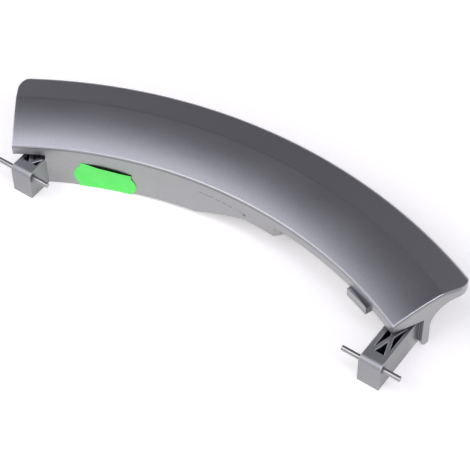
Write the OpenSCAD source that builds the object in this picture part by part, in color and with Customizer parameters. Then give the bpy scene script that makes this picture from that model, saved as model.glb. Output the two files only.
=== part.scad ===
// Handle of a round washing machine door, lying face up on its arms and its outer wall.
// X runs along the two hinge pins, Y from the pins out to the grip, and Z is up.
// X and Y are zero at the middle of the whole handle, and Z is zero where it rests.

/* [Grip arc] */
// Radius of the grip's inner edge, which follows the round door
inner_r = 172.5; // [165:0.5:180]
// Width of the grip, from its inner edge to the finger lip
face_w = 35.5; // [33:0.5:39]
// Distance of the arc's centre to the right of the arms' middle
arc_shift = 5.5; // [4:0.5:7]
// Distance from the pins' axis back to the inner edge, over the left arm's middle
edge_back = 5.9; // [4.5:0.1:7]
// Reach of the outer wall past the left arm
left_over = 11.4; // [9:0.1:14]
// Reach of the outer wall past the right arm
right_over = 3.5; // [2.5:0.1:6]

/* [Grip section] */
// Height of the grip's inner edge
inner_h = 20.3; // [19.5:0.1:22]
// Height of the crease between the crown and the outer strip
crease_h = 26.8; // [25.5:0.1:28]
// Distance of the crease from the finger lip
crease_in = 14.5; // [12:0.5:17]
// Radius of the crown, across the grip
crown_r = 95; // [70:5:140]
// Fall of the outer strip from the crease to the lip, in degrees
strip_fall = 7.3; // [4:0.1:10]
// Rounding of the crease
crease_round = 6; // [3:0.5:8]
// Rounding of the inner edge
edge_round = 0.8; // [0.4:0.1:1.2]
// Rounding of the lip's upper edge
lip_round = 4; // [3:0.25:4.5]
// Rounding of the lip's lower edge
lip_under_round = 0.6; // [0.3:0.1:0.9]
// Thickness of the lip, from the strip's edge to the lip's flat underside
lip_t = 4.25; // [3.6:0.05:5]
// Depth of the lip's flat underside
lip_reach = 8.5; // [7:0.25:10]
// Radius of the finger cove, from the lip's underside down into the outer wall
cove_r = 10.2; // [8:0.2:12]
// Plan rounding of the grip's left outer corner
left_corner_r = 9; // [6:0.5:12]
// Plan rounding of the grip's right outer corner
right_corner_r = 7; // [5:0.5:10]

/* [Walls] */
// Thickness of the skin under the crown
skin_t = 2.5; // [2:0.1:3]
// Thickness of the rim, the inner wall and the end walls
wall_t = 2.2; // [1.8:0.1:2.6]
// Thickness of the outer wall
outer_wall_t = 2.9; // [2.5:0.1:3.3]
// Depth of the rim and the end walls, from the inner edge down
rim_deep = 4.7; // [3.8:0.1:5.3]
// Thickness of the ribs under the skin
rib_t = 1.6; // [1.2:0.1:2]
// Number of ribs under the skin between the arms
rib_count = 6; // [4:1:8]

/* [Inner wall] */
// Height of the inner wall's lower edge at the left arm
wall_low_left = 0.2; // [0.1:0.1:0.6]
// Height of its lower edge where the ramp starts
wall_low_mid = 1.8; // [1.2:0.1:2.4]
// Height of its lower edge beyond the ramp
wall_high = 10.2; // [9:0.1:11]
// Place of the ramp's foot, to the right of the arms' middle
ramp_from = -19; // [-24:0.5:-14]
// Place of the ramp's top, to the right of the arms' middle
ramp_to = 3.3; // [0:0.1:6]
// Place of the wall's right end, to the right of the arms' middle
wall_to = 18.1; // [16:0.1:21]
// Step from the wall's right end in to the face of the slanting web behind it
web_in = 0.3; // [0.2:0.1:0.8]

/* [Arms] */
// Distance between the middles of the two arms
arm_pitch = 164.8; // [162:0.1:167]
// Width of each arm
arm_w = 9.3; // [8.8:0.1:9.8]
// Height of the arms' top over the pins' axis
arm_over = 3.5; // [3:0.1:4]
// Distance from the pins' axis to the arms' front face
arm_front = 2.6; // [2.4:0.1:3]
// Rounding of the arms' top front edge
front_round = 2.5; // [1.5:0.1:2.9]
// Distance from the pins' axis to where the arms' pockets start
pocket_from = 3.35; // [3:0.05:4]
// Thickness of each arm's outer side wall
arm_outer_t = 1.3; // [1.1:0.1:1.5]
// Thickness of the left arm's inner side wall
left_inner_t = 1; // [0.9:0.1:1.5]
// Thickness of the right arm's inner side wall
right_inner_t = 2; // [1.5:0.1:2.2]
// Thickness of the crossed ribs in the arms
truss_t = 1.5; // [1.2:0.1:1.8]
// Half the distance between the crossed ribs where they meet the side walls
truss_half = 2.75; // [2.5:0.05:3]
// Distance from each arm's middle to its ribs' middle, to the right
truss_shift = 0.5; // [0.3:0.1:0.7]
// Length of half a cross in the left arm
left_cross = 4.7; // [4.3:0.1:6]
// Length of half a cross in the right arm
right_cross = 8.9; // [8:0.1:10]

/* [Pins] */
// Diameter of the hinge pins
pin_d = 2.1; // [1.8:0.05:2.4]
// Extra diameter of each pin's knurled middle, which grips the arm
knurl_over = 0.35; // [0.2:0.05:0.5]
// Length of the hinge pins
pin_len = 25; // [22:0.5:28]
// Height of the pins' axis
pin_h = 9.9; // [9.4:0.1:10.4]
// Distance of each pin's middle to the left of its arm's middle
pin_offset = 0.7; // [0:0.1:1.5]
// Play between a pin's knurled middle and its bore, across the diameter
knurl_play = 0; // [0:0.01:0.02]
// Width of the countersink round each bore
sink_d = 3.8; // [3:0.1:4.2]
// Depth of the countersink
sink_deep = 0.5; // [0.2:0.1:0.8]

/* [Catch] */
// Place of the catch's left end, to the right of the arms' middle
catch_left = 58.5; // [54:0.5:62]
// Length of the catch along the inner edge
catch_len = 11.5; // [10:0.5:13]
// Distance that the catch stands in from the inner edge
catch_out = 1.6; // [1:0.1:2]
// Depth of the catch below the rim
catch_deep = 3.6; // [2.5:0.1:4]
// Height of the catch's top over the rim's lower edge
catch_lap = 0.3; // [0.2:0.1:0.6]
// Width of the catch, from front to back
catch_w = 7; // [5:0.5:9]

/* [Price label] */
// Length of the label between its wavy ends' necks
label_w = 21.8; // [19:0.1:23]
// Height of the label's left end over the resting plane
label_top = 13.3; // [12:0.1:14]
// Thickness of the label
label_t = 0.2; // [0.1:0.05:0.3]
// Distance of the label's middle from the left arm
label_in = 21.7; // [19:0.1:25]
// Tilt of the label, down to the right
label_tilt = 5.4; // [0:0.1:8]
// Radius of the round bulge at each end
bulge_r = 5.4; // [4.5:0.1:6]
// Distance that each bulge stands out
bulge_out = 2.3; // [1.5:0.1:3]
// Height of the label's lower edge, just under the wall's
label_low = 0.1; // [0.1:0.05:0.2]

/* [Hidden] */
$fn = 96;
over = 1;
sliver = 0.03;

outer_r = inner_r + face_w;
crease_r = outer_r - crease_in;
edge_h = crease_h - crease_in * tan(strip_fall);
lip_h = edge_h - lip_t;
rim_h = inner_h - rim_deep;
rim_back_r = inner_r + wall_t;
cove_c = [outer_r - lip_reach, lip_h - cove_r];
back_r = cove_c.x - cove_r;
back_inner_r = back_r - outer_wall_t;
tip_r = outer_wall_t / 2;
left_arm_x = -arm_pitch / 2;
right_arm_x = arm_pitch / 2;
left_arm_side = left_arm_x + arm_w / 2;
// Distance from the pins' axis forward to the centre of the arc
arc_back = sqrt(pow(inner_r, 2) - pow(left_arm_x - arc_shift, 2)) - edge_back;
arm_top = pin_h + arm_over;
arm_len = back_r - arc_back;
knurl_d = pin_d + knurl_over;
bore_d = knurl_d + knurl_play;

// Angle on the arc, clockwise from +Y, of a place to the right of the arms' middle
function arc_angle(x, r) = asin((x - arc_shift) / r);
left_end = arc_angle(left_arm_x - arm_w / 2 - left_over, back_r);
right_end = arc_angle(right_arm_x + arm_w / 2 + right_over, back_r);
left_arm_angle = arc_angle(left_arm_side, inner_r);
wall_end = arc_angle(wall_to, inner_r);
catch_from = arc_angle(catch_left, inner_r);
label_at = arc_angle(left_arm_side + label_in, inner_r);
label_span = (label_w + 2 * bulge_out) / inner_r * 180 / PI;
web_slant = 45;
web_len = 1.5 * (back_r - inner_r);

// Point at a radius and an angle on the arc, measured clockwise from +Y
function on_arc(r, a) = r * [sin(a), cos(a)];

// The grip's round outer corners in plan, from the straight ends to the outer edge
left_pts = [for (t = [0:9:90])
    on_arc(outer_r + sliver - left_corner_r * (1 - sin(t)), left_end)
        + left_corner_r * (1 - cos(t)) * [cos(left_end), -sin(left_end)]];
right_pts = [for (t = [90:-9:0])
    on_arc(outer_r + sliver - right_corner_r * (1 - sin(t)), right_end)
        - right_corner_r * (1 - cos(t)) * [cos(right_end), -sin(right_end)]];

// Middle of the whole handle, from the middle of the two arms on the pins' axis
mid = [
    arc_shift + (min([for (p = left_pts) p.x]) + max([for (p = right_pts) p.x])) / 2,
    (outer_r - arc_back - arm_front) / 2];

// Points of a round stretch
function round_pts(c, r, a0, a1, n) =
    [for (i = [0:n]) let (a = a0 + (a1 - a0) * i / n) c + r * [cos(a), sin(a)]];

// The crown's round stretch in the grip's section, where x is the radius and y the height
lead_angle = 114;
edge_c = [inner_r + edge_round, inner_h - edge_round];
crown_from = edge_c + edge_round * [cos(lead_angle), sin(lead_angle)];
crease = [crease_r, crease_h];
chord = crease - crown_from;
crown_c = (crown_from + crease) / 2
    + sqrt(crown_r * crown_r - chord * chord / 4) * [chord.y, -chord.x] / norm(chord);
crown_a0 = atan2(crown_from.y - crown_c.y, crown_from.x - crown_c.x);
crown_a1 = atan2(crease.y - crown_c.y, crease.x - crown_c.x);
// The crease turns from the crown's slope to the strip's
strip_dir = [cos(strip_fall), -sin(strip_fall)];
strip_out = [sin(strip_fall), cos(strip_fall)];
crease_cut = crease_round * tan((crown_a1 - 90 + strip_fall) / 2);
crease_c = crease + crease_cut * strip_dir - crease_round * strip_out;
crown_stop = crown_a1 + crease_cut / crown_r * 180 / PI;
// The lip's round edge touches the strip, and is no larger than the lip's own thickness allows
lip_room = (lip_t - lip_under_round) / (1 / cos(strip_fall) - tan(strip_fall));
lip_r = min(lip_round, lip_room);
lip_c = [outer_r - lip_r, edge_h + lip_r * tan(strip_fall) - lip_r / cos(strip_fall)];

// Height of the skin's underside at a radius
function under_skin(r) =
    crown_c.y + sqrt(crown_r * crown_r - pow(r - crown_c.x, 2)) - skin_t;
hollow_low_z = under_skin(rim_back_r);
hollow_high_z = under_skin(back_inner_r);

top_pts = concat(
    round_pts(edge_c, edge_round, 180, lead_angle, 4),
    round_pts(crown_c, crown_r, crown_a0 - 0.4, crown_stop, 14),
    round_pts(crease_c, crease_round, crown_a1, 90 - strip_fall, 4),
    round_pts(lip_c, lip_r, 90 - strip_fall, 0, 9));
lip_pts = concat(
    round_pts([outer_r - lip_under_round, lip_h + lip_under_round], lip_under_round, 0, -90, 3),
    round_pts(cove_c, cove_r, 90, 180, 12));
back_pts = concat(
    round_pts([back_r - tip_r, tip_r], tip_r, 0, -180, 8),
    [[back_inner_r, hollow_high_z],
     [rim_back_r, hollow_low_z],
     [rim_back_r, 0],
     [inner_r, 0]]);

// Moves a piece from the arms' middle to the middle of the whole handle
module placed() {
    translate([-mid.x, -mid.y, 0]) children();
}

// Sweeps a section round the arc between two angles
module arc_sweep(from, to) {
    translate([arc_shift, -arc_back, 0])
        rotate([0, 0, 90 - to])
            rotate_extrude(angle = to - from, $fn = 360) children();
}

// Stands on the arc at a radius and an angle, with X along the arc and Y outwards
module at_arc(r, a) {
    translate([arc_shift, -arc_back, 0]) rotate([0, 0, -a]) translate([0, r, 0]) children();
}

// Plan of the grip: two straight ends and two round outer corners
module grip_plan(height) {
    far = 1.3 * outer_r;
    translate([arc_shift, -arc_back, -over])
        linear_extrude(height + over)
            polygon(concat([[0, 0]], left_pts, [on_arc(far, left_end), on_arc(far, (left_end + right_end) / 2),
                on_arc(far, right_end)], right_pts));
}

// The grip with its finger lip, its outer wall and a deep wall under its whole inner edge
module grip_shell() {
    arc_sweep(left_end - over, right_end + over)
        polygon(concat(top_pts, lip_pts, back_pts));
}

// A wall across the hollow under the skin
module cross_wall(from, to, low) {
    arc_sweep(from, to)
        polygon([[rim_back_r - wall_t / 2, low],
            [back_inner_r + tip_r, low],
            [back_inner_r + tip_r, hollow_high_z + skin_t / 3],
            [rim_back_r - wall_t / 2, hollow_low_z + skin_t / 3]]);
}

module end_walls() {
    wall_angle = wall_t / inner_r * 180 / PI;
    cross_wall(left_end - over, left_end + wall_angle, rim_h);
    cross_wall(right_end - wall_angle, right_end + over, rim_h);
}

module skin_ribs() {
    rib_angle = rib_t / inner_r * 180 / PI;
    step = (right_end - left_arm_angle) / (rib_count + 1);
    for (i = [1:rib_count]) {
        a = left_arm_angle + i * step;
        cross_wall(a - rib_angle / 2, a + rib_angle / 2, rim_h + over);
    }
}

// Stands where the inner wall ends, with Y along the slanting web
module at_web() {
    at_arc(inner_r, wall_end) rotate([0, 0, -web_slant]) children();
}

// The web that slants from the inner wall's right end back to the outer wall
module end_web() {
    web_angle = web_len / inner_r * 180 / PI;
    intersection() {
        at_web() translate([-web_in - wall_t, 0, wall_high]) cube([wall_t, web_len, crease_h]);
        arc_sweep(wall_end - web_angle, wall_end + web_angle)
            polygon([[inner_r + wall_t / 2, wall_high - over],
                [back_inner_r + tip_r, wall_high - over],
                [back_inner_r + tip_r, hollow_high_z + skin_t / 3],
                [rim_back_r, hollow_low_z + skin_t / 3],
                [inner_r + wall_t / 2, rim_h + over]]);
    }
}

// What is cut from the deep wall: all that is under the rim beyond the two arms' side of the inner
// wall, and all that is under the inner wall's own lower edge with its ramp
module under_wall() {
    wall_from = left_arm_side - left_inner_t / 2;
    wall_room = 2 * inner_r;
    difference() {
        arc_sweep(left_end - 2 * over, right_end + 2 * over)
            polygon([[inner_r - over, -over],
                [rim_back_r + wall_t / 2, -over],
                [rim_back_r + wall_t / 2, rim_h],
                [inner_r - over, rim_h]]);
        intersection() {
            at_web() translate([-wall_room, -wall_room, -over])
                cube([wall_room, 2 * wall_room, crease_h]);
            translate([0, back_r, 0]) rotate([90, 0, 0])
                linear_extrude(2 * back_r)
                    polygon([[wall_from, wall_low_left],
                        [left_arm_side, wall_low_left],
                        [ramp_from, wall_low_mid],
                        [ramp_to, wall_high],
                        [inner_r, wall_high],
                        [inner_r, rim_h + 3 * over],
                        [wall_from, rim_h + 3 * over]]);
        }
    }
}

// The outline of an arm from the side, with its round front edge
module arm_side(length) {
    rotate([90, 0, 90]) translate([0, 0, -arm_w / 2])
        linear_extrude(arm_w)
            polygon(concat([[-arm_front, 0], [length, 0], [length, arm_top]],
                round_pts([-arm_front + front_round, arm_top - front_round], front_round, 90, 180, 8)));
}

// Crossed ribs: pairs that open and close between the arm's middle and its walls
module truss(cross, wide_first) {
    count = ceil(arm_len / cross);
    for (side = [-1, 1], i = [0:count - 1]) {
        a = side * truss_half * ((i + (wide_first ? 1 : 0)) % 2);
        b = side * truss_half * ((i + (wide_first ? 0 : 1)) % 2);
        turn = atan2(a - b, cross);
        translate([truss_shift + a, pocket_from + i * cross, 0])
            rotate([0, 0, turn])
                translate([-truss_t / 2, -truss_t / 3, 0])
                    cube([truss_t, norm([cross, a - b]) + truss_t / 1.5, arm_top]);
    }
}

// An arm: a solid block round the pin, then two side walls with crossed ribs, up to the outer wall
module arm(x, left_t, right_t, cross, wide_first) {
    intersection() {
        translate([x, 0, 0]) difference() {
            arm_side(arm_len);
            difference() {
                translate([-arm_w / 2 + left_t, pocket_from, -over])
                    cube([arm_w - left_t - right_t, arm_len, arm_top + 2 * over]);
                truss(cross, wide_first);
            }
        }
        translate([arc_shift, -arc_back, 0])
            cylinder(r = back_inner_r + tip_r / 2, h = arm_top, $fn = 360);
    }
}

// Bore for a pin, with a countersink in both faces of the arm
module pin_bore(x) {
    translate([x, 0, pin_h]) rotate([0, 90, 0]) {
        cylinder(d = bore_d, h = arm_w + 2 * over, center = true);
        for (side = [-1, 1])
            translate([0, 0, side * (arm_w / 2 - sink_deep / 2)])
                cylinder(d1 = side > 0 ? bore_d : sink_d,
                    d2 = side > 0 ? sink_d : bore_d,
                    h = sink_deep, center = true);
    }
}

// The catch under the inner edge, with its root in the hollow
module catch_tab() {
    to = catch_from + catch_len / inner_r * 180 / PI;
    front_r = inner_r - catch_out;
    arc_sweep(catch_from, to)
        polygon([[front_r, rim_h - catch_deep],
            [front_r + catch_w, rim_h - catch_deep],
            [front_r + catch_w, under_skin(front_r + catch_w) + skin_t / 3],
            [rim_back_r, hollow_low_z + skin_t / 3],
            [inner_r + wall_t / 2, rim_h + over],
            [inner_r + wall_t / 2, rim_h + catch_lap],
            [front_r, rim_h + catch_lap]]);
}

module handle_body() {
    color("silver") placed() difference() {
        union() {
            difference() {
                intersection() {
                    union() {
                        grip_shell();
                        end_walls();
                    }
                    grip_plan(crease_h + over);
                }
                under_wall();
            }
            end_web();
            skin_ribs();
            catch_tab();
            arm(left_arm_x, arm_outer_t, left_inner_t, left_cross, false);
            arm(right_arm_x, right_inner_t, arm_outer_t, right_cross, true);
        }
        pin_bore(left_arm_x);
        pin_bore(right_arm_x);
    }
}

// A pin with plain ends and a slightly wider, knurled middle inside the arm
module hinge_pin(x) {
    color("gainsboro") placed() translate([x, 0, pin_h]) rotate([0, 90, 0]) {
        translate([0, 0, -pin_offset])
            cylinder(d = pin_d, h = pin_len, center = true);
        cylinder(d = knurl_d, h = arm_w, center = true);
    }
}

module left_pin() {
    hinge_pin(left_arm_x);
}

module right_pin() {
    hinge_pin(right_arm_x);
}

// The label's outline, x along the wall and y up, with a round bulge at each end
module label_outline() {
    drop = label_w * tan(label_tilt) / 2;
    translate([0, label_top - drop]) rotate([0, 0, -label_tilt]) {
        translate([-label_w / 2, -label_top - bulge_r]) square([label_w, label_top + bulge_r]);
        for (side = [-1, 1])
            translate([side * (label_w / 2 + bulge_out - bulge_r), -label_top / 2])
                circle(r = bulge_r);
    }
}

module price_label() {
    color("lime") placed() intersection() {
        arc_sweep(label_at - label_span, label_at + label_span)
            translate([inner_r - label_t, label_low]) square([label_t, label_top + over]);
        at_arc(inner_r - 2 * over, label_at)
            rotate([90, 0, 0]) translate([0, 0, -4 * over])
                linear_extrude(8 * over) label_outline();
    }
}

handle_body();
left_pin();
right_pin();
price_label();
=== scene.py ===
# %% [markdown]
# # A silver grip for a round washer door
#
# The real object is one moulding of metallic silver plastic with two steel pins through its
# arms and a green price label on its inner wall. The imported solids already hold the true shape
# of the moulding and the pins, so this lesson keeps them and spends its effort on finishes, on
# the label and on the light.

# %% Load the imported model
import math
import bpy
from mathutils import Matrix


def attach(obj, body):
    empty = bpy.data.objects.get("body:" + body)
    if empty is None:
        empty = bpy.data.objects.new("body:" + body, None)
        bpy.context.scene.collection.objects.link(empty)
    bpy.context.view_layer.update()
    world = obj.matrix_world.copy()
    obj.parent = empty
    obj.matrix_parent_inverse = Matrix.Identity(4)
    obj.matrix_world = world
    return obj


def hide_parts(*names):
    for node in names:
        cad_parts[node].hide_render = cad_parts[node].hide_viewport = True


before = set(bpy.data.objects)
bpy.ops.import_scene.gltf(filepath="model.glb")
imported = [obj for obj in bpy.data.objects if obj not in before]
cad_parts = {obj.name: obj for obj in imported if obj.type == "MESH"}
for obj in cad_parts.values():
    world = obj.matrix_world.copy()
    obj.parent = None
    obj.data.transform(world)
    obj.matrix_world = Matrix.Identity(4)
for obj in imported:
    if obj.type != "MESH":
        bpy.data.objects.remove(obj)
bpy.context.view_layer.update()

from types import SimpleNamespace

import bmesh
import bpy
from mathutils import Matrix, Vector

MM = 0.001
scene = bpy.context.scene
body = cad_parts["handle_body"]
print("solids:", sorted(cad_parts))

# %% [markdown]
# ## The camera
#
# A camera is a position, a turn and a lens. The photograph looks down steeply from the front
# right with a long lens, so the far arm looks almost as large as the near one. The turn is
# built from three plain angles: which way the camera looks over the ground, how far it looks
# down, and a slight roll. Writing the three axes of the camera by hand shows what its matrix
# holds: right, up and backwards.

# %% Place the camera
CAMERA_AT = Vector((259.62, -352.0, 507.31)) * MM
LOOKS_LEFT_OF_Y = math.radians(36.111)
LOOKS_DOWN = math.radians(49.582)
ROLL = math.radians(-0.915)
LENS = 129.08
SENSOR_WIDTH = 36

ahead = Vector((-math.sin(LOOKS_LEFT_OF_Y), math.cos(LOOKS_LEFT_OF_Y), 0))
level_right = Vector((math.cos(LOOKS_LEFT_OF_Y), math.sin(LOOKS_LEFT_OF_Y), 0))
z_up = Vector((0, 0, 1))
forward = math.cos(LOOKS_DOWN) * ahead - math.sin(LOOKS_DOWN) * z_up
upward = math.sin(LOOKS_DOWN) * ahead + math.cos(LOOKS_DOWN) * z_up
right = math.cos(ROLL) * level_right + math.sin(ROLL) * upward
up = -math.sin(ROLL) * level_right + math.cos(ROLL) * upward

camera = bpy.data.objects.new("camera", bpy.data.cameras.new("camera"))
scene.collection.objects.link(camera)
camera.matrix_world = Matrix.Translation(CAMERA_AT) @ Matrix((
    (right.x, up.x, -forward.x, 0),
    (right.y, up.y, -forward.y, 0),
    (right.z, up.z, -forward.z, 0),
    (0, 0, 0, 1)))
camera.data.sensor_width = SENSOR_WIDTH
camera.data.lens = LENS
scene.camera = camera
print("camera looks", [round(v, 3) for v in forward], "with a", LENS, "mm lens")

# %% [markdown]
# ## Small helpers for shader nodes
#
# A node tree is easier to read when a new node, its settings and its inputs stand on one line.
# `add` makes a node and fills its inputs: a plain value is written on the socket, and a socket
# from another node is linked. Some nodes have several sockets of one name, so `#2` stands for
# the socket with number 2.

# %% Helpers for nodes, materials and groups
def put(tree, node, name, value):
    """Write a plain value on a node's input, or link another node's socket to it."""
    socket = node.inputs[int(name[1:])] if name[0] == "#" else node.inputs[name]
    if isinstance(value, bpy.types.NodeSocket):
        tree.links.new(value, socket)
    else:
        socket.default_value = value


def add(tree, kind, settings=None, **inputs):
    """Make a node with its settings and inputs."""
    node = tree.nodes.new(kind)
    for name, value in (settings or {}).items():
        setattr(node, name, value)
    for name, value in inputs.items():
        put(tree, node, name.replace("_", " "), value)
    return node


def new_material(name):
    """Make a material with one Principled shader, and give it with its tree and its shader."""
    material = bpy.data.materials.new(name)
    material.use_nodes = True
    tree = material.node_tree
    tree.nodes.clear()
    shader = add(tree, "ShaderNodeBsdfPrincipled")
    add(tree, "ShaderNodeOutputMaterial", Surface=shader.outputs[0])
    return material, tree, shader


def new_group(name, sockets_in, sockets_out):
    """Make a node group, and give it with its input node and its output node."""
    tree = bpy.data.node_groups.new(name, "ShaderNodeTree")
    for label, kind, value in sockets_in:
        socket = tree.interface.new_socket(label, in_out="INPUT", socket_type="NodeSocket" + kind)
        socket.default_value = value
    for label, kind in sockets_out:
        tree.interface.new_socket(label, in_out="OUTPUT", socket_type="NodeSocket" + kind)
    return tree, tree.nodes.new("NodeGroupInput"), tree.nodes.new("NodeGroupOutput")


def place_group(tree, group, **inputs):
    """Use a node group in a tree, and give its outputs."""
    return add(tree, "ShaderNodeGroup", {"node_tree": group}, **inputs).outputs


print("helpers ready for nodes, materials and groups")

# %% [markdown]
# ## Sums and masks
#
# A mask is a number from 0 to 1 that says where something shows. `remap` makes one, as a ramp
# that stays level beyond both of its ends, `times` keeps what several masks share, and `tint`
# lays on a colour where a mask is. `add_up` starts from a plain value and adds patterns by
# their amounts, which is all that a roughness or a height needs.

# %% Helpers for sums and masks
def calc(tree, operation, a, b=0.0):
    """The result of one sum."""
    node = add(tree, "ShaderNodeMath", {"operation": operation})
    put(tree, node, "#0", a)
    put(tree, node, "#1", b)
    return node.outputs[0]


def times(tree, product, *factors):
    """The product of several numbers."""
    for factor in factors:
        product = calc(tree, "MULTIPLY", product, factor)
    return product


def inverse(tree, mask):
    """A mask of all that another mask leaves free."""
    return calc(tree, "SUBTRACT", 1.0, mask)


def add_up(tree, total, *terms):
    """A start value plus each pattern times its amount."""
    for pattern, amount in terms:
        total = calc(tree, "ADD", total, times(tree, pattern, amount))
    return total


def remap(tree, value, low, high, to_low=0.0, to_high=1.0):
    """A ramp from to_low, where the value is low, to to_high, where it is high."""
    return add(tree, "ShaderNodeMapRange", {"clamp": True}, Value=value, From_Min=low,
               From_Max=high, To_Min=to_low, To_Max=to_high).outputs[0]


def mix_colour(tree, amount, low, high):
    """A colour between two others."""
    node = add(tree, "ShaderNodeMix", {"data_type": "RGBA"})
    for name, value in (("#0", amount), ("#6", low), ("#7", high)):
        put(tree, node, name, value)
    return node.outputs[2]


def tint(tree, tone, mask, strength, colour):
    """Lay a colour over a tone where a mask is, with a strength of up to 1."""
    return mix_colour(tree, times(tree, mask, strength), tone, colour)


print("helpers ready for sums and masks")

# %% [markdown]
# ## Edges for wear and painted highlights
#
# Paint on a moulding is thinnest on sharp edges, and hands polish them first. Cycles can round a
# normal over a small radius with its Bevel node. Where the rounded normal leaves the true one,
# there is an edge near by. That makes a mask of edges from any mesh, without marking them by
# hand. The dot product of the two normals is the cosine of the angle between them: the mask
# starts at 17 degrees and is full at 35. Broken up with noise, it serves the silver paint and the
# steel pins alike, so it is a node group. On the paint it carries a painted highlight as well as
# wear.

# %% The edge mask group
EDGE_STARTS, EDGE_FULL = 0.955, 0.82

edge_tree, edge_in, edge_out = new_group(
    "worn_and_highlit_edges",
    [("Radius", "Float", 0.5 * MM), ("Patchiness", "Float", 0.5)],
    [("Mask", "Float")])
rounded = add(edge_tree, "ShaderNodeBevel", {"samples": 6}, Radius=edge_in.outputs["Radius"])
true_normal = add(edge_tree, "ShaderNodeNewGeometry").outputs["Normal"]
facing = add(edge_tree, "ShaderNodeVectorMath", {"operation": "DOT_PRODUCT"})
put(edge_tree, facing, "#0", rounded.outputs[0])
put(edge_tree, facing, "#1", true_normal)
turned = remap(edge_tree, facing.outputs["Value"], EDGE_STARTS, EDGE_FULL)
edge_place = add(edge_tree, "ShaderNodeTexCoord").outputs["Object"]
edge_noise = add(edge_tree, "ShaderNodeTexNoise", Vector=edge_place, Scale=420.0, Detail=3.0,
                 Roughness=0.6)
gaps = inverse(edge_tree, remap(edge_tree, edge_noise.outputs["Fac"], 0.35, 0.65))
lost = times(edge_tree, edge_in.outputs["Patchiness"], gaps)
put(edge_tree, edge_out, "Mask", times(edge_tree, turned, inverse(edge_tree, lost)))
print("group:", edge_tree.name)

# %% [markdown]
# ## Fine grain
#
# Metallic paint holds flakes of aluminium that each tip their own way, drawn wire has lines
# along it, and paper has fibres. All three are noise at different scales and stretches. One
# group takes a scale and a stretch and gives an even 0 to 1 pattern for colour and a height for
# bump.

# %% The grain group
grain_tree, grain_in, grain_out = new_group(
    "fine_grain",
    [("Scale", "Float", 1000.0), ("Stretch", "Vector", (1.0, 1.0, 1.0)),
     ("Detail", "Float", 2.0)],
    [("Pattern", "Float"), ("Height", "Float")])
grain_place = add(grain_tree, "ShaderNodeTexCoord").outputs["Object"]
grain_map = add(grain_tree, "ShaderNodeMapping", Vector=grain_place,
                Scale=grain_in.outputs["Stretch"])
grain_noise = add(grain_tree, "ShaderNodeTexNoise", Vector=grain_map.outputs[0],
                  Scale=grain_in.outputs["Scale"], Detail=grain_in.outputs["Detail"],
                  Roughness=0.55)
put(grain_tree, grain_out, "Pattern", remap(grain_tree, grain_noise.outputs["Fac"], 0.3, 0.7))
put(grain_tree, grain_out, "Height", grain_noise.outputs["Fac"])
print("group:", grain_tree.name)

# %% [markdown]
# ## Places on the arc
#
# Most marks on the moulding belong to one place on it. They could be painted on an image, but
# that needs a flat layout of the whole moulding. Their masks are worked out instead from where
# the shaded point lies: its height, its angle round the centre of the door's arc and its
# distance from that centre. The face of the inner wall lies at one distance, which tells the
# wall from the crown behind it and from the arms in front of it.

# %% Find the place on the arc
ARC_CENTRE = Vector((9.847, -173.96)) * MM
WALL_R = 172.5 * MM


def arc_place(tree):
    """Where the shaded point is: at, x, y and z on the object, angle and reach on the arc."""
    at = add(tree, "ShaderNodeTexCoord").outputs["Object"]
    part = add(tree, "ShaderNodeSeparateXYZ", Vector=at).outputs
    x = calc(tree, "SUBTRACT", part["X"], ARC_CENTRE.x)
    y = calc(tree, "SUBTRACT", part["Y"], ARC_CENTRE.y)
    reach = calc(tree, "SQRT", calc(tree, "ADD", times(tree, x, x), times(tree, y, y)))
    return SimpleNamespace(at=at, x=part["X"], y=part["Y"], z=part["Z"],
                           angle=calc(tree, "ARCTAN2", x, y), reach=reach)


def between(tree, value, rise, fall):
    """A mask that rises over one range of a value and falls over another one."""
    return times(tree, remap(tree, value, *rise), remap(tree, value, *fall))


def round_patch(tree, place, middle, outer, inner):
    """A round mask: nothing outside the outer radius, full inside the inner one."""
    away = add(tree, "ShaderNodeVectorMath", {"operation": "DISTANCE"})
    put(tree, away, "#0", place.at)
    put(tree, away, "#1", middle)
    return remap(tree, away.outputs["Value"], outer, inner)


print("arc centre in mm:", [round(v / MM, 2) for v in ARC_CENTRE])

# %% [markdown]
# ## Rub marks on the inner wall
#
# The door's ring has rubbed a broken row of short dark marks along the inner wall, a little
# under its upper edge. A line that falls slowly to the right, a narrow band round it and noise
# along it give the dashes, and a small round scuff ends the row.

# %% The mask of the rub marks
ROW_LEFT, ROW_RIGHT = math.radians(-7.4), math.radians(-0.3)
ROW_OUTSIDE, ROW_INSIDE = math.radians(0.2), math.radians(0.3)
ROW_HEIGHT = 14.55 * MM
ROW_FALL = 1.25 * MM
ROW_WAVE = 0.6 * MM
SCUFF_AT = (ARC_CENTRE.x - 1.5 * MM, ARC_CENTRE.y + WALL_R, 12.8 * MM)


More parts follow.
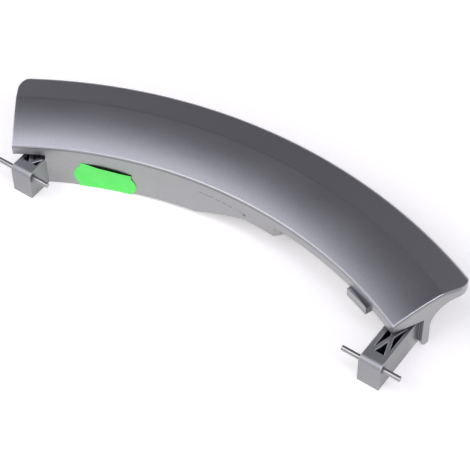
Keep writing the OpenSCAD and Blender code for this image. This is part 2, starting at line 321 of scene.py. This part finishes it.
def rub_marks(tree, place):
    """A mask of short dark dashes on the inner wall and of the scuff at their end."""
    along = remap(tree, place.angle, ROW_LEFT, ROW_RIGHT)
    line = calc(tree, "SUBTRACT", ROW_HEIGHT, times(tree, along, ROW_FALL))
    noise = add(tree, "ShaderNodeTexNoise", Vector=place.at, Scale=240.0, Detail=2.0)
    wave = times(tree, calc(tree, "SUBTRACT", noise.outputs["Fac"], 0.5), ROW_WAVE)
    off = calc(tree, "SUBTRACT", calc(tree, "SUBTRACT", place.z, line), wave)
    band = remap(tree, calc(tree, "ABSOLUTE", off), 0.32 * MM, 0.10 * MM)
    ends = between(tree, place.angle, (ROW_LEFT - ROW_OUTSIDE, ROW_LEFT + ROW_INSIDE),
                   (ROW_RIGHT + ROW_OUTSIDE, ROW_RIGHT - ROW_INSIDE))
    breaks = add(tree, "ShaderNodeTexNoise", Vector=place.at, Scale=560.0, Detail=1.0)
    dashes = remap(tree, breaks.outputs["Fac"], 0.44, 0.54)
    on_face = remap(tree, place.reach, WALL_R + 0.5 * MM, WALL_R + 0.2 * MM)
    scuff = times(tree, round_patch(tree, place, SCUFF_AT, 1.0 * MM, 0.5 * MM), on_face)
    return calc(tree, "MAXIMUM", times(tree, band, dashes, ends, on_face), scuff)


print("row of marks:", round(math.degrees(ROW_RIGHT - ROW_LEFT), 1), "degrees long")

# %% [markdown]
# ## Painted shade lines under two edges
#
# A thin line of painted shade runs under the rounding of the inner edge, and another one under
# the upper edge of the right end, where a rounded edge would mirror a dark band. The first keeps
# one height, so the place on the arc gives it, and it gets fainter to the right. The right end
# has no such simple place, so its line comes from the surface: its own normal says that a point
# is on the end, and a normal that is rounded over a wide radius looks up only just under the
# edge.

# %% The masks of the painted shade lines
INNER_LINE_Z = 19.25 * MM
INNER_LINE_FAINT_X = 75 * MM
INNER_LINE_FAINTEST = 0.35
END_LINE_RADIUS = 4.0 * MM
FACES_RIGHT, FACES_FRONT, LOOKS_UP = (0.6, 0.75), (-0.3, -0.42), (0.12, 0.4)


def inner_painted_shade_line(tree, place):
    """A mask of the thin line of painted shade just under the rounding of the inner edge."""
    off = calc(tree, "ABSOLUTE", calc(tree, "SUBTRACT", place.z, INNER_LINE_Z))
    band = remap(tree, off, 0.42 * MM, 0.18 * MM)
    on_face = remap(tree, place.reach, WALL_R + 0.3 * MM, WALL_R + 0.15 * MM)
    fading = remap(tree, place.x, INNER_LINE_FAINT_X, 0.0, INNER_LINE_FAINTEST, 1.0)
    return times(tree, band, on_face, fading)


def end_painted_shade_line(tree):
    """A mask of the thin line of painted shade just under the upper edge of the right end."""
    normal = add(tree, "ShaderNodeNewGeometry").outputs["Normal"]
    own_way = add(tree, "ShaderNodeSeparateXYZ", Vector=normal).outputs
    wide_edge = add(tree, "ShaderNodeBevel", {"samples": 8}, Radius=END_LINE_RADIUS)
    wide_way = add(tree, "ShaderNodeSeparateXYZ", Vector=wide_edge.outputs[0]).outputs
    return times(tree, remap(tree, own_way["X"], *FACES_RIGHT),
                 remap(tree, own_way["Y"], *FACES_FRONT), remap(tree, wide_way["Z"], *LOOKS_UP))


print("inner line at", round(INNER_LINE_Z / MM, 2), "mm")

# %% [markdown]
# ## The painted brown shade and the catch's painted shade
#
# By the inner wall's right end a faint round patch of painted shade, tinted brown, darkens the
# wall, and noise breaks it up. The top of the catch gets no edge highlight, and painted shade
# makes a dark wedge on it that widens to the right. The top follows the arc, so two heights, two
# angles and one distance bound it.

# %% The masks of the painted brown shade and of the catch
BROWN_SHADE_AT = (22.0 * MM, -1.9 * MM, 11.5 * MM)
CATCH_LEFT, CATCH_RIGHT = math.radians(17.8), math.radians(21.7)
CATCH_LOW, CATCH_HIGH = 15.6 * MM, 16.1 * MM
WEDGE_START, WEDGE_GROWTH = 0.3 * MM, 1.15 * MM


def brown_painted_shade(tree, place):
    """A mask of the faint brown painted shade by the inner wall's right end."""
    noise = add(tree, "ShaderNodeTexNoise", Vector=place.at, Scale=500.0, Detail=2.0)
    return times(tree, round_patch(tree, place, BROWN_SHADE_AT, 4.5 * MM, 0.5 * MM),
                 remap(tree, noise.outputs["Fac"], 0.35, 0.6))


def catch_shade(tree, place):
    """Two masks: the whole top of the catch, and the wedge of painted shade that widens to the
    right.
    """
    in_front = remap(tree, place.reach, WALL_R + 0.25 * MM, WALL_R + 0.1 * MM)
    top = between(tree, place.z, (CATCH_LOW - 0.3 * MM, CATCH_LOW),
                  (CATCH_HIGH + 0.2 * MM, CATCH_HIGH))
    ends = between(tree, place.angle, (CATCH_LEFT - math.radians(0.1), CATCH_LEFT),
                   (CATCH_RIGHT + math.radians(0.1), CATCH_RIGHT + math.radians(0.04)))
    near = times(tree, in_front, top, ends)
    along = remap(tree, place.angle, CATCH_LEFT, CATCH_RIGHT)
    front = calc(tree, "SUBTRACT", WALL_R - WEDGE_START, times(tree, along, WEDGE_GROWTH))
    wedge = remap(tree, calc(tree, "SUBTRACT", place.reach, front), -0.15 * MM, 0.15 * MM)
    return near, times(tree, near, wedge)


print("catch:", round(math.degrees(CATCH_RIGHT - CATCH_LEFT), 1), "degrees long")

# %% [markdown]
# ## The arms and closed places
#
# The arms are hidden in the door, so nobody rubs them and their paint is duller. Their mask takes
# what is low and towards the pins. It keeps off the deep inner wall at the left, and it fades out
# where the right arm runs on under the grip. The pockets between the arms' ribs and all closed-in
# corners are darkened as painted shade, where little light would reach. The Ambient Occlusion
# node finds them: it says how much of the sky a point sees within a short distance.

# %% The masks of the arms and of closed places
ARM_TOP = 13.7 * MM
GRIP_Y, ARMS_Y = -9 * MM, -15 * MM


def arm_mask(tree, place):
    """A mask of the two arms, which fades out where the right arm runs on under the grip."""
    low = remap(tree, place.z, ARM_TOP, ARM_TOP - 0.2 * MM)
    off_wall = calc(tree, "MAXIMUM",
                    remap(tree, place.reach, WALL_R - 0.1 * MM, WALL_R - 0.4 * MM),
                    remap(tree, place.x, 0.0, 10 * MM))
    return times(tree, low, off_wall, remap(tree, place.y, GRIP_Y, ARMS_Y))


def closed_place(tree, distance, open_sky, closed_sky):
    """A mask of points from which little of the sky is seen within a distance."""
    sight = add(tree, "ShaderNodeAmbientOcclusion", {"samples": 8}, Distance=distance)
    return remap(tree, sight.outputs["AO"], open_sky, closed_sky)


print("arms end at", round(ARM_TOP / MM, 1), "mm")

# %% [markdown]
# ## The silver paint
#
# The moulding is plastic with metallic silver paint under a satin clear coat. A metallic
# Principled shader gives the soft bright-to-dark sweep over the crown. The flakes are a very fine
# grain that moves the colour a little, a slower, weaker noise makes the paint's faint waviness,
# and hands have left thin, dull smears on the broad faces. The sharp edges that look up, apart
# from those of the catch, get a painted highlight: their colour is lifted towards white. The same
# mask stands for the wear that rubs these edges.

# %% Start the paint and find its highlighted edges
PAINT_EDGE = 0.7 * MM

paint_material, paint, paint_shader = new_material("silver_paint")
flakes = place_group(paint, grain_tree, Scale=5200.0, Detail=1.0)
waves = place_group(paint, grain_tree, Scale=260.0, Detail=2.0)
smears = place_group(paint, grain_tree, Scale=42.0, Stretch=(1.0, 1.6, 1.0), Detail=4.0)
edges = place_group(paint, edge_tree, Radius=PAINT_EDGE, Patchiness=0.2)
soft_edge = add(paint, "ShaderNodeBevel", {"samples": 8}, Radius=PAINT_EDGE).outputs[0]
edge_way = add(paint, "ShaderNodeSeparateXYZ", Vector=soft_edge).outputs
looks_up = remap(paint, edge_way["Z"], 0.3, 0.55, 0.12, 1.0)
paint_place = arc_place(paint)
on_catch, catch_painted_shade = catch_shade(paint, paint_place)
# painted highlight on the upward-looking edges, which also stands for their wear
edge_highlight_and_wear = times(paint, edges["Mask"], looks_up, inverse(paint, on_catch))
on_arms = arm_mask(paint, paint_place)
print("material:", paint_material.name)

# %% [markdown]
# ## The paint's colour
#
# The colour is built in layers: the flakes first, then wear, painted highlights and painted
# shade, one layer over the other. Each layer has a mask, a strength and a colour, so the whole
# finish is one table.

# %% Colour the paint in layers
FLAKE_DARK, FLAKE_LIGHT = (0.325, 0.325, 0.327, 1), (0.425, 0.425, 0.428, 1)
SHADE_LINE_COLOUR = (0.10, 0.10, 0.11, 1)
# painted shade in the arms' pockets, where little light reaches
pocket_painted_shade = times(paint, closed_place(paint, 7 * MM, 0.42, 0.2), on_arms)
PAINT_LAYERS = (
    ("smears", smears["Pattern"], 0.16, (0.30, 0.295, 0.29, 1)),
    # painted shade: a dark line under the right end's upper edge
    ("dull line of the right end", end_painted_shade_line(paint), 0.65, SHADE_LINE_COLOUR),
    # painted highlight: upward-looking edges lifted towards white
    ("polished edges", edge_highlight_and_wear, 1.0, (0.95, 0.95, 0.98, 1)),
    ("rub marks", rub_marks(paint, paint_place), 0.62, (0.05, 0.05, 0.05, 1)),
    # painted shade: a dark line under the inner edge's rounding
    ("dull line of the inner edge", inner_painted_shade_line(paint, paint_place), 0.6, SHADE_LINE_COLOUR),
    # painted shade, tinted brown, by the inner wall's right end
    ("brown rub", brown_painted_shade(paint, paint_place), 0.4, (0.30, 0.22, 0.17, 1)),
    # painted shade: a dark wedge on the catch's top
    ("dust on the catch", catch_painted_shade, 0.85, (0.06, 0.06, 0.07, 1)),
    # painted shade in the arms' pockets
    ("pockets in the arms", pocket_painted_shade, 0.9, (0.045, 0.045, 0.06, 1)),
    # painted shade in closed-in corners
    ("closed corners", closed_place(paint, 2.2 * MM, 0.55, 0.12), 0.75, (0.07, 0.07, 0.075, 1)))
paint_tone = mix_colour(paint, flakes["Pattern"], FLAKE_DARK, FLAKE_LIGHT)
for name, mask, strength, colour in PAINT_LAYERS:
    paint_tone = tint(paint, paint_tone, mask, strength, colour)
put(paint, paint_shader, "Base Color", paint_tone)
print("layers:", ", ".join(name for name, mask, strength, colour in PAINT_LAYERS))

# %% [markdown]
# ## The paint's gloss
#
# Flakes and smears break the gloss a little, and the arms are duller and have hardly any coat
# left. The sharp edges of their ribs are rubbed through to the plastic, so they are less
# metallic. The bump of the flakes and waves starts from the rounded normal, which makes every
# edge of the moulding look moulded.

# %% Set the paint's gloss
PAINT_ROUGHNESS, PATTERN_ROUGHNESS, ARM_ROUGHNESS = 0.285, 0.04, 0.22
COAT, COAT_LOST, COAT_ROUGHNESS = 0.4, 0.3, 0.15
METAL_LOST = 0.6

rubbed_through = times(paint, edge_highlight_and_wear, on_arms)
dull_arms = times(paint, on_arms, inverse(paint, edge_highlight_and_wear))
put(paint, paint_shader, "Metallic", add_up(paint, 1.0, (rubbed_through, -METAL_LOST)))
put(paint, paint_shader, "Roughness",
    add_up(paint, PAINT_ROUGHNESS, (flakes["Pattern"], PATTERN_ROUGHNESS),
           (smears["Pattern"], PATTERN_ROUGHNESS), (dull_arms, ARM_ROUGHNESS)))
put(paint, paint_shader, "Coat Weight", add_up(paint, COAT, (on_arms, -COAT_LOST)))
put(paint, paint_shader, "Coat Roughness", COAT_ROUGHNESS)
paint_height = add_up(paint, 0.0, (waves["Height"], 0.6), (flakes["Height"], 0.05))
paint_bump = add(paint, "ShaderNodeBump", Height=paint_height, Strength=0.08,
                 Distance=0.2 * MM, Normal=soft_edge)
put(paint, paint_shader, "Normal", paint_bump.outputs[0])
body.data.materials.clear()
body.data.materials.append(paint_material)
print("painted:", body.name)

# %% [markdown]
# ## The steel pins
#
# The pins are cut from drawn wire: bright, with faint lines along them and a small chamfer at
# each end. The solids have sharp ends, so a Bevel modifier rounds them. A modifier leaves the
# solid's own mesh as it is, which the frame asks for.

# %% Make the drawn steel
STEEL_DARK, STEEL_LIGHT = (0.34, 0.33, 0.32, 1), (0.47, 0.46, 0.45, 1)
STEEL_EDGE = (0.60, 0.60, 0.59, 1)

pin_material, steel, steel_shader = new_material("drawn_steel")
lines = place_group(steel, grain_tree, Scale=2600.0, Stretch=(0.03, 1.0, 1.0), Detail=2.0)
pin_edges = place_group(steel, edge_tree, Radius=0.2 * MM, Patchiness=0.3)
line_tone = mix_colour(steel, lines["Pattern"], STEEL_DARK, STEEL_LIGHT)
put(steel, steel_shader, "Base Color",
    tint(steel, line_tone, pin_edges["Mask"], 0.15, STEEL_EDGE))
put(steel, steel_shader, "Metallic", 1.0)
put(steel, steel_shader, "Roughness", add_up(steel, 0.28, (lines["Pattern"], 0.10)))
steel_bump = add(steel, "ShaderNodeBump", Height=lines["Height"], Strength=0.15,
                 Distance=0.05 * MM)
put(steel, steel_shader, "Normal", steel_bump.outputs[0])
print("material:", pin_material.name)

# %% Finish the pins
CHAMFER = 0.25 * MM
SHARP_EDGE = math.radians(50)

for name in ("left_pin", "right_pin"):
    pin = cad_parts[name]
    pin.data.materials.clear()
    pin.data.materials.append(pin_material)
    chamfer = pin.modifiers.new("end_chamfer", "BEVEL")
    chamfer.width = CHAMFER
    chamfer.segments = 2
    chamfer.angle_limit = SHARP_EDGE

# %% [markdown]
# ## The price label
#
# The label is a strip of fluorescent paper, pressed on a wall that bends. Its ends have the
# round bulge that price-gun labels have, its top edge has come loose, and its lower edge ends
# at the wall's foot. The outline lives on a flat sheet, so the mesh starts as a flat grid in
# the label's own coordinates, is as wide at each height as the outline, and is then laid on the
# wall, point by point. Points that would lie under the foot are held just over the floor.

# %% Place a point on the wall
LABEL_MIDDLE = math.radians(-20.76)
LABEL_WIDTH = 21.6 * MM
LABEL_TOP = 13.3 * MM
LABEL_TILT = math.radians(5.4)
LOWEST = 0.1 * MM


def on_wall(along, height, off):
    """A point off the wall's face, at a distance along the arc from the label's middle."""
    angle = LABEL_MIDDLE + along / WALL_R
    reach = WALL_R - off
    return Vector((ARC_CENTRE.x + reach * math.sin(angle),
                   ARC_CENTRE.y + reach * math.cos(angle), height))


print("label's middle:", [round(v / MM, 1) for v in on_wall(0, 7 * MM, 0)])

# %% Shape the label's outline and its loose edge
BULGE_R = 5.4 * MM
BULGE_OUT = 2.3 * MM
GLUE_GAP = 0.10 * MM
RIPPLE, RIPPLE_ACROSS, RIPPLE_UP = 0.03 * MM, 9, 3
LIFT = 0.85 * MM
LIFT_FROM, LIFT_OVER, LIFT_CURVE = 0.45, 0.55, 1.6
LOOSE_FROM, LOOSE_OVER = -0.85, 0.55
RIGHT_END_HELD = 0.7


def half_width(v):
    """Half the label's width at a height v over its lower edge, measured along its own tilt."""
    reach = BULGE_R ** 2 - (v - LABEL_TOP / 2) ** 2
    plain = LABEL_WIDTH / 2
    if reach <= 0:
        return plain
    return max(plain, plain + BULGE_OUT - BULGE_R + math.sqrt(reach))


def gap_behind(t, v):
    """How far the paper is off the wall at a height v, for t from -1 to 1 across the label."""
    loose = min(1, max(0, (t - LOOSE_FROM) / LOOSE_OVER))
    loose = loose * (1 - RIGHT_END_HELD * max(0, t) ** 3)
    lift = LIFT * loose * max(0, (v / LABEL_TOP - LIFT_FROM) / LIFT_OVER) ** LIFT_CURVE
    ripple = RIPPLE * math.sin(RIPPLE_ACROSS * t + RIPPLE_UP * v / LABEL_TOP)
    return GLUE_GAP + lift + abs(ripple)


print("loose top in mm:", [round(gap_behind(t, LABEL_TOP) / MM, 2) for t in (-1, 0, 1)])

# %% Make the label
COLUMNS, ROWS = 72, 40
PAPER = 0.12 * MM

drop = LABEL_WIDTH * math.tan(LABEL_TILT) / 2
label_mesh = bmesh.new()
grid = []
for row in range(ROWS + 1):
    v = LABEL_TOP * row / ROWS
    line = []
    for column in range(COLUMNS + 1):
        t = 2 * column / COLUMNS - 1
        u = t * half_width(v)
        along = u * math.cos(LABEL_TILT) + (v - LABEL_TOP) * math.sin(LABEL_TILT)
        height = (LABEL_TOP - drop + (v - LABEL_TOP) * math.cos(LABEL_TILT)
                  - u * math.sin(LABEL_TILT))
        point = on_wall(along, max(height, LOWEST), gap_behind(t, v))
        line.append(label_mesh.verts.new(point))
    grid.append(line)
for lower, upper in zip(grid, grid[1:]):
    for column in range(COLUMNS):
        label_mesh.faces.new((lower[column], lower[column + 1],
                              upper[column + 1], upper[column]))
label_data = bpy.data.meshes.new("label_sheet")
label_mesh.to_mesh(label_data)
label_mesh.free()
for polygon in label_data.polygons:
    polygon.use_smooth = True
label = bpy.data.objects.new("label_sheet", label_data)
scene.collection.objects.link(label)
thickness = label.modifiers.new("paper", "SOLIDIFY")
thickness.thickness = PAPER
thickness.offset = 0
thickness.material_offset = 1
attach(label, "root")
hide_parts("price_label")
print("label faces:", len(label_data.polygons))

# %% [markdown]
# ## The label's paper
#
# Fluorescent paper gives back more green than it gets, which a little emission of the same colour
# stands for. Fibres and faint creases keep it from looking like plastic. The side with the glue
# is duller, and its colour is darkened as painted shade, which keeps the gap under the loose top
# edge dark. The Solidify modifier gives it the second material.

# %% Colour the label
FIBRE_DARK, FIBRE_LIGHT = (0.12, 0.78, 0.12, 1), (0.17, 0.86, 0.17, 1)
CREASE = (0.09, 0.66, 0.10, 1)
GLOW, GLOW_STRENGTH = (0.10, 0.75, 0.11, 1), 0.22

label_material, paper, paper_shader = new_material("fluorescent_paper")
fibres = place_group(paper, grain_tree, Scale=1500.0, Stretch=(0.6, 1.0, 1.4), Detail=4.0)
creases = place_group(paper, grain_tree, Scale=170.0, Detail=1.0)
fibre_tone = mix_colour(paper, fibres["Pattern"], FIBRE_DARK, FIBRE_LIGHT)
put(paper, paper_shader, "Base Color",
    tint(paper, fibre_tone, creases["Pattern"], 0.3, CREASE))
put(paper, paper_shader, "Roughness", 0.62)
put(paper, paper_shader, "Emission Color", GLOW)
put(paper, paper_shader, "Emission Strength", GLOW_STRENGTH)
paper_bump = add(paper, "ShaderNodeBump", Height=fibres["Height"], Strength=0.2,
                 Distance=0.05 * MM)
put(paper, paper_shader, "Normal", paper_bump.outputs[0])
label_data.materials.append(label_material)
print("label material:", label_material.name)

# %% Dull the label's glued side and darken it as painted shade
GLUE_SHADE_DARK, GLUE_SHADE_LIGHT = (0.10, 0.20, 0.10, 1), (0.16, 0.30, 0.15, 1)

back_material, back, back_shader = new_material("glued_side_painted_shade")
glue = place_group(back, grain_tree, Scale=900.0, Detail=3.0)
# painted shade: the glued side is a much darker copy of the paper's green
put(back, back_shader, "Base Color", mix_colour(back, glue["Pattern"], GLUE_SHADE_DARK, GLUE_SHADE_LIGHT))
put(back, back_shader, "Roughness", add_up(back, 0.45, (glue["Pattern"], 0.2)))
label_data.materials.append(back_material)
print("glued side:", back_material.name)

# %% [markdown]
# ## The floor
#
# The handle lies on a white sheet that fills the picture. The floor's own colour is pale, so a
# soft shadow falls on it under the handle. For camera rays and for rays that metal or glass
# sends on, a glow lifts the lit floor to white, while the light that the floor throws on matt
# faces stays plain.

# %% Lay the floor
HALF_FLOOR = 15.0
FLOOR_Z = -0.02 * MM

floor_data = bpy.data.meshes.new("floor")
floor_maker = bmesh.new()
floor_maker.faces.new([floor_maker.verts.new((x * HALF_FLOOR, y * HALF_FLOOR, FLOOR_Z))
                       for x, y in ((-1, -1), (1, -1), (1, 1), (-1, 1))])
floor_maker.to_mesh(floor_data)
floor_maker.free()
floor = bpy.data.objects.new("floor", floor_data)
scene.collection.objects.link(floor)
print("floor:", 2 * HALF_FLOOR, "m wide")

# %% Colour the floor
FLOOR_COLOUR = (0.78, 0.765, 0.74, 1)
FLOOR_GLOW, FLOOR_GLOW_STRENGTH = (1, 0.985, 0.96, 1), 0.40

floor_material, ground, ground_shader = new_material("white_sheet")
put(ground, ground_shader, "Base Color", FLOOR_COLOUR)
put(ground, ground_shader, "Roughness", 0.9)
put(ground, ground_shader, "Specular IOR Level", 0.1)
put(ground, ground_shader, "Emission Color", FLOOR_GLOW)
path = add(ground, "ShaderNodeLightPath").outputs
seen = calc(ground, "MAXIMUM", path["Is Camera Ray"], path["Is Glossy Ray"])
seen = calc(ground, "MAXIMUM", seen, path["Is Transmission Ray"])
put(ground, ground_shader, "Emission Strength", times(ground, seen, FLOOR_GLOW_STRENGTH))
floor_data.materials.append(floor_material)
print("floor material:", floor_material.name)

# %% [markdown]
# ## The room
#
# Metallic paint shows the room more than its own colour, so the light is built from what each
# part of the grip mirrors towards the camera. The crown near the inner edge mirrors the front
# half of the room, which is bright, and the crease and the outer strip mirror the back half,
# which is dim. Between the two the light falls off slowly, which gives the crown its long soft
# sweep. Lamps would show as spots in the paint. A ramp over the sky from back to front, along
# -Y with a slight lean to Z and X, does it from every side instead, as a wide softbox over the
# front would, and its bright stops are a little bluer. The room is darker near the horizon,
# which upright faces mirror, and it has one dim strip at an X that level faces mirror, which
# keeps the middle of the crown from outshining its ends.

# %% Light the room
LEAN_Z, LEAN_X = 0.15, 0.12
SKY = ((0.0, 0.37), (0.40, 0.155), (0.54, 0.19), (0.64, 0.32), (0.70, 0.72), (0.76, 3.1),
       (0.86, 2.3), (1.0, 1.0))
HORIZON_FROM, HORIZON_TO, HORIZON_LEVEL = 0.05, 0.38, 0.3
DIP_X, DIP_HALF_WIDTH, DIP_LEVEL, LEVEL_BESIDE_DIP = -0.38, 0.50, 0.50, 1.08

scene.view_settings.view_transform = "Standard"
world = bpy.data.worlds.new("room")
scene.world = world
world.use_nodes = True
sky = world.node_tree
sky.nodes.clear()
sky_place = add(sky, "ShaderNodeTexCoord").outputs["Generated"]
sky_way = add(sky, "ShaderNodeSeparateXYZ", Vector=sky_place).outputs
forwards = add_up(sky, 0.0, (sky_way["Z"], LEAN_Z), (sky_way["X"], LEAN_X),
                  (sky_way["Y"], -1.0))
sky_ramp = add(sky, "ShaderNodeValToRGB", Fac=remap(sky, forwards, -0.5, 0.5))
stops = sky_ramp.color_ramp.elements
while len(stops) < len(SKY):
    stops.new(0.5)
for stop, (position, level) in zip(stops, SKY):
    bluer = 1.05 + 0.12 * min(1, 2 * level)
    stop.position = position
    stop.color = (level, level, level * bluer, 1)
above_horizon = remap(sky, sky_way["Z"], HORIZON_FROM, HORIZON_TO, HORIZON_LEVEL, 1.0)
from_dip = calc(sky, "ABSOLUTE", calc(sky, "SUBTRACT", sky_way["X"], DIP_X))
dip = remap(sky, from_dip, 0.0, DIP_HALF_WIDTH, DIP_LEVEL, LEVEL_BESIDE_DIP)
sky_light = add(sky, "ShaderNodeBackground", Color=sky_ramp.outputs[0],
                Strength=times(sky, above_horizon, dip))
add(sky, "ShaderNodeOutputWorld", Surface=sky_light.outputs[0])
print("sky levels:", [level for position, level in SKY])

# %% [markdown]
# ## The lamp
#
# The room is so wide that it throws hardly any shadow. One soft lamp in front, to the left,
# adds a direction, so that edges and the label's loose top throw one.

# %% Hang the lamp
LAMP_AT = Vector((-0.5, -1.0, 1.3))
LAMP_WIDTH, LAMP_HEIGHT = 0.9, 0.6
LAMP_WATTS = 6

lamp_data = bpy.data.lights.new("front_lamp", "AREA")
lamp_data.shape = "RECTANGLE"
lamp_data.size, lamp_data.size_y = LAMP_WIDTH, LAMP_HEIGHT
lamp_data.energy = LAMP_WATTS
lamp = bpy.data.objects.new("front_lamp", lamp_data)
scene.collection.objects.link(lamp)
lamp.location = LAMP_AT
lamp.rotation_euler = (-LAMP_AT).to_track_quat("-Z", "Y").to_euler()
print(lamp.name, "at", [round(v, 2) for v in LAMP_AT], LAMP_WATTS, "W")
